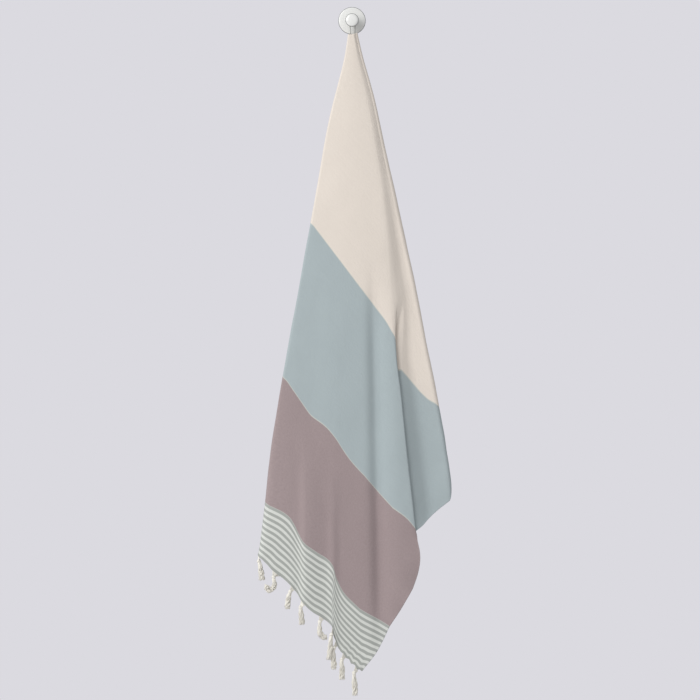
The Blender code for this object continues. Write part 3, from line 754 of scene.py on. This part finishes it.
class Shape:
    """Vertices and faces of a piece that is put together from tubes."""

    def __init__(self):
        self.vertices = []
        self.faces = []

    def tube(self, path, radii, sides):
        """Closed tube along a path, with one radius for each point."""
        path = [Vector(p) for p in path]
        across = None
        rings = []
        for index, point in enumerate(path):
            ahead = path[min(index + 1, len(path) - 1)] - path[max(index - 1, 0)]
            ahead.normalize()
            if across is None:
                across = ahead.orthogonal().normalized()
            across = (across - ahead * across.dot(ahead)).normalized()
            out = ahead.cross(across)
            ring = []
            for side in range(sides):
                turn = 2.0 * math.pi * side / sides
                reach = across * math.cos(turn) + out * math.sin(turn)
                ring.append(len(self.vertices))
                self.vertices.append(point + reach * radii[index])
            rings.append(ring)
        for low, high in zip(rings, rings[1:]):
            for side in range(sides):
                other = (side + 1) % sides
                self.faces.append((low[side], low[other], high[other], high[side]))
        self.faces.append(tuple(reversed(rings[0])))
        self.faces.append(tuple(rings[-1]))

    def turned(self, profile):
        """Round form about the Y axis from (radius, distance from wall)."""
        steps = ROUND_STEPS
        first = len(self.vertices)
        self.vertices.append(Vector((0.0, -profile[0][1], 0.0)))
        for radius, forward in profile[1:-1]:
            for step in range(steps):
                turn = 2.0 * math.pi * step / steps
                self.vertices.append(
                    Vector((radius * math.cos(turn), -forward, radius * math.sin(turn)))
                )
        self.vertices.append(Vector((0.0, -profile[-1][1], 0.0)))
        last = len(self.vertices) - 1
        rings = len(profile) - 2
        for step in range(steps):
            other = (step + 1) % steps
            self.faces.append((first, first + 1 + other, first + 1 + step))
            for ring in range(rings - 1):
                a = first + 1 + ring * steps
                b = a + steps
                self.faces.append((a + other, b + other, b + step, a + step))
            end = first + 1 + (rings - 1) * steps
            self.faces.append((end + other, last, end + step))

    def piece(self, name, material, slot):
        vertices = [v * MM for v in self.vertices]
        return new_piece(name, vertices, self.faces, material)


# ------------------------------------------------------------------- fringe

def edge_place(angles, grid, angle):
    """Point on the hanging edge, way out of the cloth, way along the edge."""
    place = float(np.interp(angle, angles, np.arange(len(angles))))
    low = min(int(place), len(angles) - 2)
    share = place - low
    last, above = (
        Vector(grid[row, low] * (1.0 - share) + grid[row, low + 1] * share)
        for row in (-1, OUT_ROW)
    )
    along = Vector(grid[-1, low + 1] - grid[-1, low]).normalized()
    return last, (last - above).normalized(), along


def tassel_places(number, direction):
    """Places down a tassel: sideways from its root and down from it."""
    if direction > 0 and number in TASSEL_PLACES:
        return TASSEL_PLACES[number]
    length = TASSEL_LENGTH * (1.0 + TASSEL_UNEVEN * math.sin(number * 2.5 + 1.0))
    sway = length * (TASSEL_SWAY + TASSEL_SWAY_CHANGE * math.sin(number * 2.3))
    return [(sway * aside, length * down) for aside, down in TASSEL_SHARES]


def tassel_path(point, out, along, places):
    """Middle line of a tassel: out of the edge, then down through its places."""
    square = (out - along * out.dot(along)).normalized()
    root = point + square * TASSEL_ROOT
    lean = -abs(along.z) * math.copysign(TASSEL_LEAN, -along.x * along.z)
    corners = [point + square * TASSEL_START, root]
    for side, down in places:
        corners.append(root + Vector((side + lean, 0.0, -down)))
    ways = [0.0]
    for before, after in zip(corners, corners[1:]):
        ways.append(ways[-1] + (after - before).length)
    table = np.array([(way, *corner) for way, corner in zip(ways, corners)])
    steps = np.linspace(0.0, ways[-1], TASSEL_STEPS)
    return [Vector(p) for p in zip(*(curve(table, steps, axis) for axis in (1, 2, 3)))]


def point_on(path, share):
    place = min(max(share, 0.0), 1.0) * (len(path) - 1)
    index = min(int(place), len(path) - 2)
    return path[index].lerp(path[index + 1], place - index)


def frame_on(path, share):
    ahead = (point_on(path, share + AHEAD) - point_on(path, share - AHEAD)).normalized()
    across = ahead.orthogonal().normalized()
    return ahead, across, ahead.cross(across)


def add_gathered_ends(shape, path, knot, point, out, along):
    """Warp threads that leave the cloth's edge and gather into the knot."""
    for thread in range(GATHERED):
        spread = (thread / (GATHERED - 1.0) - 0.5) * GATHERED_SPREAD
        root = point + along * spread - out * GATHERED_START
        gathered = point_on(path, knot) + along * spread * GATHERED_KEPT
        rise = GATHERED_RISE - GATHERED_FALL * abs(spread)
        middle = root.lerp(gathered, 0.5) + out * rise
        shape.tube((root, middle, gathered), GATHERED_RADII, YARN_SIDES)


def add_knot(shape, path, knot, number):
    """The bundle laid once round itself, on a round core."""
    ahead, across, over = frame_on(path, knot)
    centre = point_on(path, knot)
    wrap = []
    for step in range(WRAP_STEPS + 1):
        turn = 2.0 * math.pi * WRAP_TURNS * step / WRAP_STEPS + number
        away = across * math.cos(turn) + over * math.sin(turn)
        along = WRAP_LENGTH * (step / WRAP_STEPS - 0.5)
        wrap.append(centre + away * WRAP_AWAY + ahead * along)
    shape.tube(wrap, [WRAP_RADIUS] * len(wrap), WRAP_SIDES)
    shape.tube([centre + ahead * place for place in CORE_PLACES], CORE_RADII, CORE_SIDES)


def add_loose_ends(shape, path, knot, number):
    """Crimped ends that fan out below the knot, half a turn round."""
    for thread in range(LOOSE_ENDS):
        start_turn = thread * LOOSE_TURN + number
        ring = math.sqrt((thread + 0.5) / LOOSE_ENDS)
        length = LOOSE_LENGTH + LOOSE_UNEVEN * math.sin(thread * 1.7 + number)
        crimps = CRIMPS + CRIMP_CHANGE * math.sin(thread * 2.9)
        line, radii = [], []
        for step in range(LOOSE_STEPS + 1):
            share = step / LOOSE_STEPS
            place = knot + LOOSE_GAP + (1.0 - knot - LOOSE_GAP) * share * length
            _, across, over = frame_on(path, place)
            turn = start_turn + math.pi * share
            away = across * math.cos(turn) + over * math.sin(turn)
            crimp = start_turn * 1.7 + share * crimps
            small = across * math.cos(crimp) + over * math.sin(crimp)
            small = small * min(CRIMP_GROWTH * share, 1.0)
            wide = ring * (LOOSE_SPREAD + LOOSE_GROWTH * math.sqrt(share))
            line.append(point_on(path, place) + away * wide + small)
            radii.append(LOOSE_RADIUS - LOOSE_THINNING * share)
        shape.tube(line, radii, YARN_SIDES)


def add_tassel(shape, point, out, along, number, places):
    path = tassel_path(point, out, along, places)
    knot = KNOT_PLACE + KNOT_CHANGE * math.sin(number * 1.7)
    add_gathered_ends(shape, path, knot, point, out, along)
    add_knot(shape, path, knot, number)
    add_loose_ends(shape, path, knot, number)


def build_fringe(name, direction, edge, material, node):
    shape = Shape()
    pitch = WIDTH / TASSELS_PER_END
    shift = FRONT_FRINGE_SHIFT if direction > 0 else 0.0
    for number in range(TASSELS_PER_END):
        away = math.degrees(math.atan2((number + 0.5) * pitch + shift, HALF_LENGTH))
        angle = away if direction > 0 else 180.0 - away
        places = tassel_places(number, direction)
        add_tassel(shape, *edge_place(*edge, angle), number, places)
    piece = shape.piece(name, material, "fringe_ecru")
    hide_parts(node)
    return piece


# ------------------------------------------------------------ hook and loop

def plate_profile():
    radius, depth = ROSETTE_RADIUS, ROSETTE_DEPTH
    return (
        (0.0, 0.0), (radius - 0.6, 0.0), (radius - 0.2, 0.2), (radius, 0.7),
        (radius, depth * 0.56), (radius - 0.15, depth * 0.66),
        (radius - 0.5, depth * 0.74), (radius - 1.1, depth * 0.79),
        (radius - 2.2, depth * 0.83), (radius * 0.84, depth * 0.88),
        (radius * 0.70, depth * 0.93), (radius * 0.54, depth * 0.97),
        (radius * 0.40, depth), (0.0, depth),
    )


def head_profile():
    """The neck's flared foot, the neck and the round head before it."""
    foot = ROSETTE_DEPTH + SEAT_GAP
    back = HEAD_FRONT - HEAD_DEPTH
    neck, head = NECK_RADIUS, HEAD_RADIUS
    return (
        (0.0, foot), (neck + 2.0, foot), (neck + 1.9, foot + 0.5),
        (neck + 1.1, foot + 1.6), (neck + 0.3, foot + 2.6),
        (neck, foot + 4.0), (neck, back - 2.6),
        (neck + 0.5, back - 1.0), (neck + 1.6, back - 0.1),
        (head - 2.6, back + 0.5), (head - 1.0, back + 1.3),
        (head - 0.2, back + 2.5), (head, back + 3.6),
        (head - 0.4, back + 5.2), (head - 1.5, back + 6.7),
        (head - 3.2, back + 7.6), (head * 0.5, HEAD_FRONT - 0.3),
        (head * 0.25, HEAD_FRONT - 0.05), (0.0, HEAD_FRONT),
    )


def build_turned(name, profile, look, node):
    shape = Shape()
    shape.turned(profile)
    piece = shape.piece(name, look, "hook_white")
    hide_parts(node)
    return piece


def build_hook():
    look = hook_material("plate_gloss", PLATE_BEVEL)
    plate = build_turned("hook_plate", plate_profile(), look, "hook_rosette")
    look = hook_material("head_gloss", HEAD_BEVEL)
    head = build_turned("hook_head", head_profile(), look, "hook_knob")
    return plate, head


def loop_path():
    """Middle line of the tape: up one leg, over the neck, down the other."""
    radius = NECK_RADIUS + SEAT_GAP + TAPE_THICKNESS / 2.0
    arc = []
    for step in range(ARC_STEPS + 1):
        turn = math.radians(ARC_START - step * ARC_SWEEP / ARC_STEPS)
        arc.append((radius * math.cos(turn), radius * math.sin(turn)))
    return [*LEFT_LEG, *arc, *RIGHT_LEG]


def tape_section():
    """Places round the tape, through its thickness and along its width."""
    section = []
    for step in range(TAPE_SIDES):
        turn = 2.0 * math.pi * step / TAPE_SIDES
        wide = math.copysign(abs(math.cos(turn)) ** TAPE_SQUARE, math.cos(turn))
        thick = math.copysign(abs(math.sin(turn)) ** TAPE_ROUND, math.sin(turn))
        section.append((thick * TAPE_THICKNESS / 2.0, wide * TAPE_WIDTH / 2.0))
    return section


def build_loop(material):
    """Narrow woven tape with rounded selvedges."""
    shape = Shape()
    path, section = loop_path(), tape_section()
    for index, (x, z) in enumerate(path):
        before = path[max(index - 1, 0)]
        after = path[min(index + 1, len(path) - 1)]
        ahead = Vector((after[0] - before[0], 0.0, after[1] - before[1])).normalized()
        out = Vector((-ahead.z, 0.0, ahead.x))
        for thick, wide in section:
            shape.vertices.append(Vector((x, TAPE_MIDDLE + wide, z)) + out * thick)
    count = len(section)
    for index in range(len(path) - 1):
        a, b = index * count, (index + 1) * count
        for side in range(count):
            other = (side + 1) % count
            shape.faces.append((a + side, b + side, b + other, a + other))
    shape.faces.append(tuple(range(count)))
    end = (len(path) - 1) * count
    shape.faces.append(tuple(reversed(range(end, end + count))))
    loop = shape.piece("tape_loop", material, "loop_white")
    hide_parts("hanging_loop")
    return loop


# ---------------------------------------------------------------- materials

class Nodes:
    """Short calls for a material's nodes."""

    def __init__(self, name, roughness, sheen=0.0, coat=0.0):
        self.material = bpy.data.materials.new(name)
        self.material.use_nodes = True
        self.tree = self.material.node_tree
        self.shader = self.tree.nodes["Principled BSDF"]
        self.shader.inputs["Roughness"].default_value = roughness
        self.shader.inputs["Sheen Weight"].default_value = sheen
        self.shader.inputs["Sheen Roughness"].default_value = 0.5
        self.shader.inputs["Coat Weight"].default_value = coat
        self.shader.inputs["Coat Roughness"].default_value = 0.08

    def link(self, value, socket):
        if isinstance(value, bpy.types.NodeSocket):
            self.tree.links.new(value, socket)
        elif socket.type == "VECTOR":
            socket.default_value = value[:3]
        else:
            socket.default_value = value

    def math(self, operation, first, second=0.0, third=None):
        node = self.tree.nodes.new("ShaderNodeMath")
        node.operation = operation
        self.link(first, node.inputs[0])
        self.link(second, node.inputs[1])
        if third is not None:
            self.link(third, node.inputs[2])
        return node.outputs[0]

    def mix(self, share, first, second):
        node = self.tree.nodes.new("ShaderNodeMix")
        node.data_type = "RGBA"
        self.link(share, node.inputs["Factor"])
        self.link(first, node.inputs[6])
        self.link(second, node.inputs[7])
        return node.outputs[2]

    def noise(self, vector, scale, detail=2.0, rough=0.5):
        node = self.tree.nodes.new("ShaderNodeTexNoise")
        self.link(vector, node.inputs["Vector"])
        node.inputs["Scale"].default_value = scale
        node.inputs["Detail"].default_value = detail
        node.inputs["Roughness"].default_value = rough
        return node.outputs["Fac"]

    def scaled(self, vector, factors):
        node = self.tree.nodes.new("ShaderNodeVectorMath")
        node.operation = "MULTIPLY"
        self.link(vector, node.inputs[0])
        node.inputs[1].default_value = factors
        return node.outputs[0]

    def coordinates(self):
        return self.tree.nodes.new("ShaderNodeTexCoord").outputs["Object"]

    def parts(self, vector):
        node = self.tree.nodes.new("ShaderNodeSeparateXYZ")
        self.link(vector, node.inputs[0])
        return node.outputs

    def waves(self, value, pitch):
        return self.math("SINE", self.math("MULTIPLY", value, 2.0 * math.pi / pitch))

    def step(self, value, edge, soft):
        """0 below an edge and 1 above it, over a short way."""
        node = self.tree.nodes.new("ShaderNodeMapRange")
        node.interpolation_type = "SMOOTHSTEP"
        self.link(value, node.inputs["Value"])
        node.inputs["From Min"].default_value = edge - soft / 2.0
        node.inputs["From Max"].default_value = edge + soft / 2.0
        return node.outputs["Result"]

    def times(self, colour, factor):
        node = self.tree.nodes.new("ShaderNodeVectorMath")
        node.operation = "SCALE"
        self.link(colour, node.inputs[0])
        self.link(factor, node.inputs["Scale"])
        return node.outputs[0]

    def shade(self, colour, amount, value):
        """Colour made lighter and darker by a value round a half."""
        change = self.math("MULTIPLY_ADD", value, amount, 1.0 - amount / 2.0)
        return self.times(colour, change)

    def bump(self, height, distance, strength):
        node = self.tree.nodes.new("ShaderNodeBump")
        node.inputs["Distance"].default_value = distance
        node.inputs["Strength"].default_value = strength
        self.link(height, node.inputs["Height"])
        self.tree.links.new(node.outputs["Normal"], self.shader.inputs["Normal"])

    def colour(self, value):
        self.link(value, self.shader.inputs["Base Color"])


def tone(red, green, blue):
    """Linear colour, with alpha, from display values up to 255."""
    linear = []
    for value in (red, green, blue):
        share = value / 255.0
        linear.append(share / 12.92 if share <= 0.04045 else ((share + 0.055) / 1.055) ** 2.4)
    return (*linear, 1.0)


CREAM = tone(226, 216, 205)
BLUE = tone(169, 180, 182)
MAUVE = tone(159, 143, 143)
LINE = tone(193, 197, 190)
STRIPE_LIGHT = tone(213, 215, 209)
STRIPE_DARK = tone(164, 167, 162)
ECRU = tone(238, 234, 224)
HOOK_WHITE = tone(230, 230, 227)
# painted shade: grey of the thin rings at the hook's rims
HOOK_PAINTED_SHADE = tone(124, 125, 124)
# painted shade: the white tape is given a grey tone for the shade along its legs
TAPE_PAINTED_SHADE = tone(172, 172, 167)
FLOOR_PALE = tone(216, 215, 216)
BACKGROUND = tone(219, 218, 224)

# looks: noise waves to a metre, pitches in metres, shares of a colour
STRIPE_SOFT = 0.7
SPECKLE_SCALE = 240.0
MAUVE_MELANGE, OTHER_MELANGE = 0.28, 0.05
SLUB_SCALES, SLUB_SHADE = (520.0, 9.0, 1.0), 0.07
SLOW_SCALE, SLOW_SHADE = 9.0, 0.05
CREPE_SCALES = (260.0, 130.0, 1.0)
WEAVE_PITCH, WEAVE_HEIGHT = 0.0011, 0.16
STRAND_SCALES = (900.0, 900.0, 260.0)
RIB_PITCH, TAPE_PITCH = 0.0009, 0.0008
EDGE_SOFT = 0.0006

# bumps: height in metres, strength
WEAVE_BUMP = (0.0006, 0.7)
YARN_BUMP = (0.0006, 0.8)
TAPE_BUMP = (0.0003, 0.6)
HOOK_BUMP = (0.0004, 0.15)


def striped_colour(nodes, away):
    stripe = nodes.math("DIVIDE", nodes.math("SUBTRACT", away, STRIPE_START), STRIPE_PITCH)
    shifted = nodes.math("SUBTRACT", stripe, FIRST_DARK + 0.25)
    wave = nodes.waves(shifted, 1.0)
    return nodes.mix(nodes.step(wave, 0.0, STRIPE_SOFT), STRIPE_DARK, STRIPE_LIGHT)


def band_colour(nodes, away):
    """Middle, blue, mauve and stripes, with a thin light line between."""
    in_blue, in_mauve, in_stripes = (
        nodes.step(away, start, BAND_SOFT) for start in (BLUE_START, MAUVE_START, STRIPE_START)
    )
    colour = nodes.mix(in_blue, CREAM, BLUE)
    colour = nodes.mix(in_mauve, colour, MAUVE)
    colour = nodes.mix(in_stripes, colour, striped_colour(nodes, away))
    for start, width in LIGHT_LINES:
        gap = nodes.math("ABSOLUTE", nodes.math("SUBTRACT", away, start))
        colour = nodes.mix(nodes.step(gap, width / 2.0, BAND_SOFT), LINE, colour)
    return colour


def melange(nodes, flat, away):
    """Shade of the mixed yarns: strong in the mauve band, faint elsewhere."""
    speckle = nodes.noise(flat, SPECKLE_SCALE, 3.0, 0.7)
    past_mauve = nodes.step(away, MAUVE_START, BAND_SOFT)
    before_stripes = nodes.math("SUBTRACT", 1.0, nodes.step(away, STRIPE_START, BAND_SOFT))
    in_mauve = nodes.math("MULTIPLY", past_mauve, before_stripes)
    depth = nodes.math("MULTIPLY_ADD", in_mauve, MAUVE_MELANGE, OTHER_MELANGE)
    return nodes.math("MULTIPLY_ADD", nodes.math("SUBTRACT", speckle, 0.5), depth, 1.0)


def towel_material():
    """Bands, mixed yarns, uneven weft and a plain weave on soft crepe."""
    nodes = Nodes("towel_weave", 0.93, sheen=0.12)
    place = nodes.tree.nodes.new("ShaderNodeAttribute")
    place.attribute_name = "cloth"
    flat = place.outputs["Vector"]
    along, across, _ = nodes.parts(flat)
    away = nodes.math("ABSOLUTE", along)
    colour = nodes.times(band_colour(nodes, away), melange(nodes, flat, away))
    slubs = nodes.noise(nodes.scaled(flat, SLUB_SCALES), 1.0, 2.0, 0.6)
    colour = nodes.shade(colour, SLUB_SHADE, slubs)
    nodes.colour(nodes.shade(colour, SLOW_SHADE, nodes.noise(flat, SLOW_SCALE)))
    weave = nodes.math(
        "MULTIPLY", nodes.waves(across, WEAVE_PITCH), nodes.waves(away, WEAVE_PITCH)
    )
    crepe = nodes.noise(nodes.scaled(flat, CREPE_SCALES), 1.0, 3.0, 0.6)
    nodes.bump(nodes.math("MULTIPLY_ADD", weave, WEAVE_HEIGHT, crepe), *WEAVE_BUMP)
    return nodes.material


def yarn_material():
    nodes = Nodes("fringe_yarn", 0.9, sheen=0.15)
    place = nodes.coordinates()
    strands = nodes.noise(nodes.scaled(place, STRAND_SCALES), 1.0, 3.0, 0.6)
    shaded = nodes.shade(ECRU, 0.12, strands)
    nodes.colour(nodes.shade(shaded, 0.08, nodes.noise(place, 60.0)))
    nodes.bump(strands, *YARN_BUMP)
    return nodes.material


def tape_material():
    nodes = Nodes("loop_tape", 0.85, sheen=0.1)
    place = nodes.coordinates()
    _, deep, up = nodes.parts(place)
    weave = nodes.math("MULTIPLY", nodes.waves(up, RIB_PITCH), nodes.waves(deep, TAPE_PITCH))
    mottle = nodes.noise(place, 700.0, 3.0)
    # the tape's grey tone is painted shade on a white tape
    nodes.colour(nodes.shade(TAPE_PAINTED_SHADE, 0.10, mottle))
    nodes.bump(nodes.math("MULTIPLY_ADD", weave, 0.3, mottle), *TAPE_BUMP)
    return nodes.material


def hook_material(name, bevel):
    """White gloss with a thin grey ring of painted shade outside a radius, for the shade at
    the rim.
    """
    nodes = Nodes(name, 0.22, coat=0.35)
    place = nodes.coordinates()
    slow = nodes.noise(place, 35.0)
    fine = nodes.noise(place, 900.0)
    side, _, up = nodes.parts(place)
    square = nodes.math("MULTIPLY_ADD", up, up, nodes.math("MULTIPLY", side, side))
    # edge: mask of the painted shade ring outside the bevel's radius
    edge = nodes.step(nodes.math("SQRT", square), bevel * MM, EDGE_SOFT)
    nodes.colour(nodes.shade(nodes.mix(edge, HOOK_WHITE, HOOK_PAINTED_SHADE), 0.04, slow))
    rough = nodes.math("MULTIPLY_ADD", fine, 0.08, 0.18)
    nodes.link(rough, nodes.shader.inputs["Roughness"])
    nodes.bump(slow, *HOOK_BUMP)
    return nodes.material


def floor_material():
    nodes = Nodes("floor_pale", 0.85)
    nodes.colour(nodes.shade(FLOOR_PALE, 0.02, nodes.noise(nodes.coordinates(), 3.0)))
    return nodes.material


# -------------------------------------------------- floor, light and camera

def build_floor():
    bpy.ops.mesh.primitive_circle_add(
        vertices=FLOOR_SIDES, radius=FLOOR_RADIUS, fill_type="NGON",
        location=(0.0, 0.0, FLOOR_HEIGHT),
    )
    floor = bpy.context.object
    floor.name = "floor"
    floor.data.materials.append(floor_material())


def build_world():
    """Even light, with a plain pale background where the camera sees it."""
    world = bpy.data.worlds.new("studio")
    world.use_nodes = True
    tree = world.node_tree
    seen = tree.nodes["Background"]
    seen.inputs["Color"].default_value = BACKGROUND
    seen.inputs["Strength"].default_value = BACKGROUND_LIGHT
    light = tree.nodes.new("ShaderNodeBackground")
    light.inputs["Color"].default_value = SKY_TINT
    light.inputs["Strength"].default_value = SKY_LIGHT
    ray = tree.nodes.new("ShaderNodeLightPath")
    either = tree.nodes.new("ShaderNodeMixShader")
    tree.links.new(ray.outputs["Is Camera Ray"], either.inputs[0])
    tree.links.new(light.outputs[0], either.inputs[1])
    tree.links.new(seen.outputs[0], either.inputs[2])
    tree.links.new(either.outputs[0], tree.nodes["World Output"].inputs["Surface"])
    bpy.context.scene.world = world


def add_key_light():
    data = bpy.data.lights.new("key", "AREA")
    data.shape = "DISK"
    data.size = KEY_SIZE
    data.energy = KEY_POWER
    light = bpy.data.objects.new("key", data)
    light.location = KEY_PLACE
    aim = Vector(KEY_TARGET) - Vector(KEY_PLACE)
    light.rotation_euler = aim.to_track_quat("-Z", "Y").to_euler()
    bpy.context.scene.collection.objects.link(light)


def add_camera():
    """Level, in front of the photograph's middle, at its scale and width."""
    data = bpy.data.cameras.new("camera")
    centre_x = (PHOTO_SIDE / 2 - HOOK_PIXEL[0]) * PIXEL * MM
    centre_z = (HOOK_PIXEL[1] - PHOTO_SIDE / 2) * PIXEL * MM
    half = PHOTO_SIDE / 2 * PIXEL * MM
    data.sensor_width = SENSOR_WIDTH
    data.lens = SENSOR_WIDTH / 2 * (CAMERA_AWAY - TOWEL_FRONT) / half
    data.clip_end = CLIP_END
    camera = bpy.data.objects.new("camera", data)
    camera.location = (centre_x, -CAMERA_AWAY, centre_z)
    camera.rotation_euler = (math.pi / 2, 0.0, 0.0)
    bpy.context.scene.collection.objects.link(camera)
    bpy.context.scene.camera = camera


def main():
    bpy.context.scene.view_settings.view_transform = "Standard"
    yarn = yarn_material()
    towel, *edge = build_cloth(towel_material())
    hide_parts("towel_cloth")
    front = build_fringe("tassels_front", 1, edge, yarn, "fringe_front")
    back = build_fringe("tassels_back", -1, edge, yarn, "fringe_back")
    loop = build_loop(tape_material())
    plate, head = build_hook()
    for piece in (towel, front, back, plate, head, loop):
        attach(piece, "root")
    build_floor()
    build_world()
    add_key_light()
    add_camera()


main()
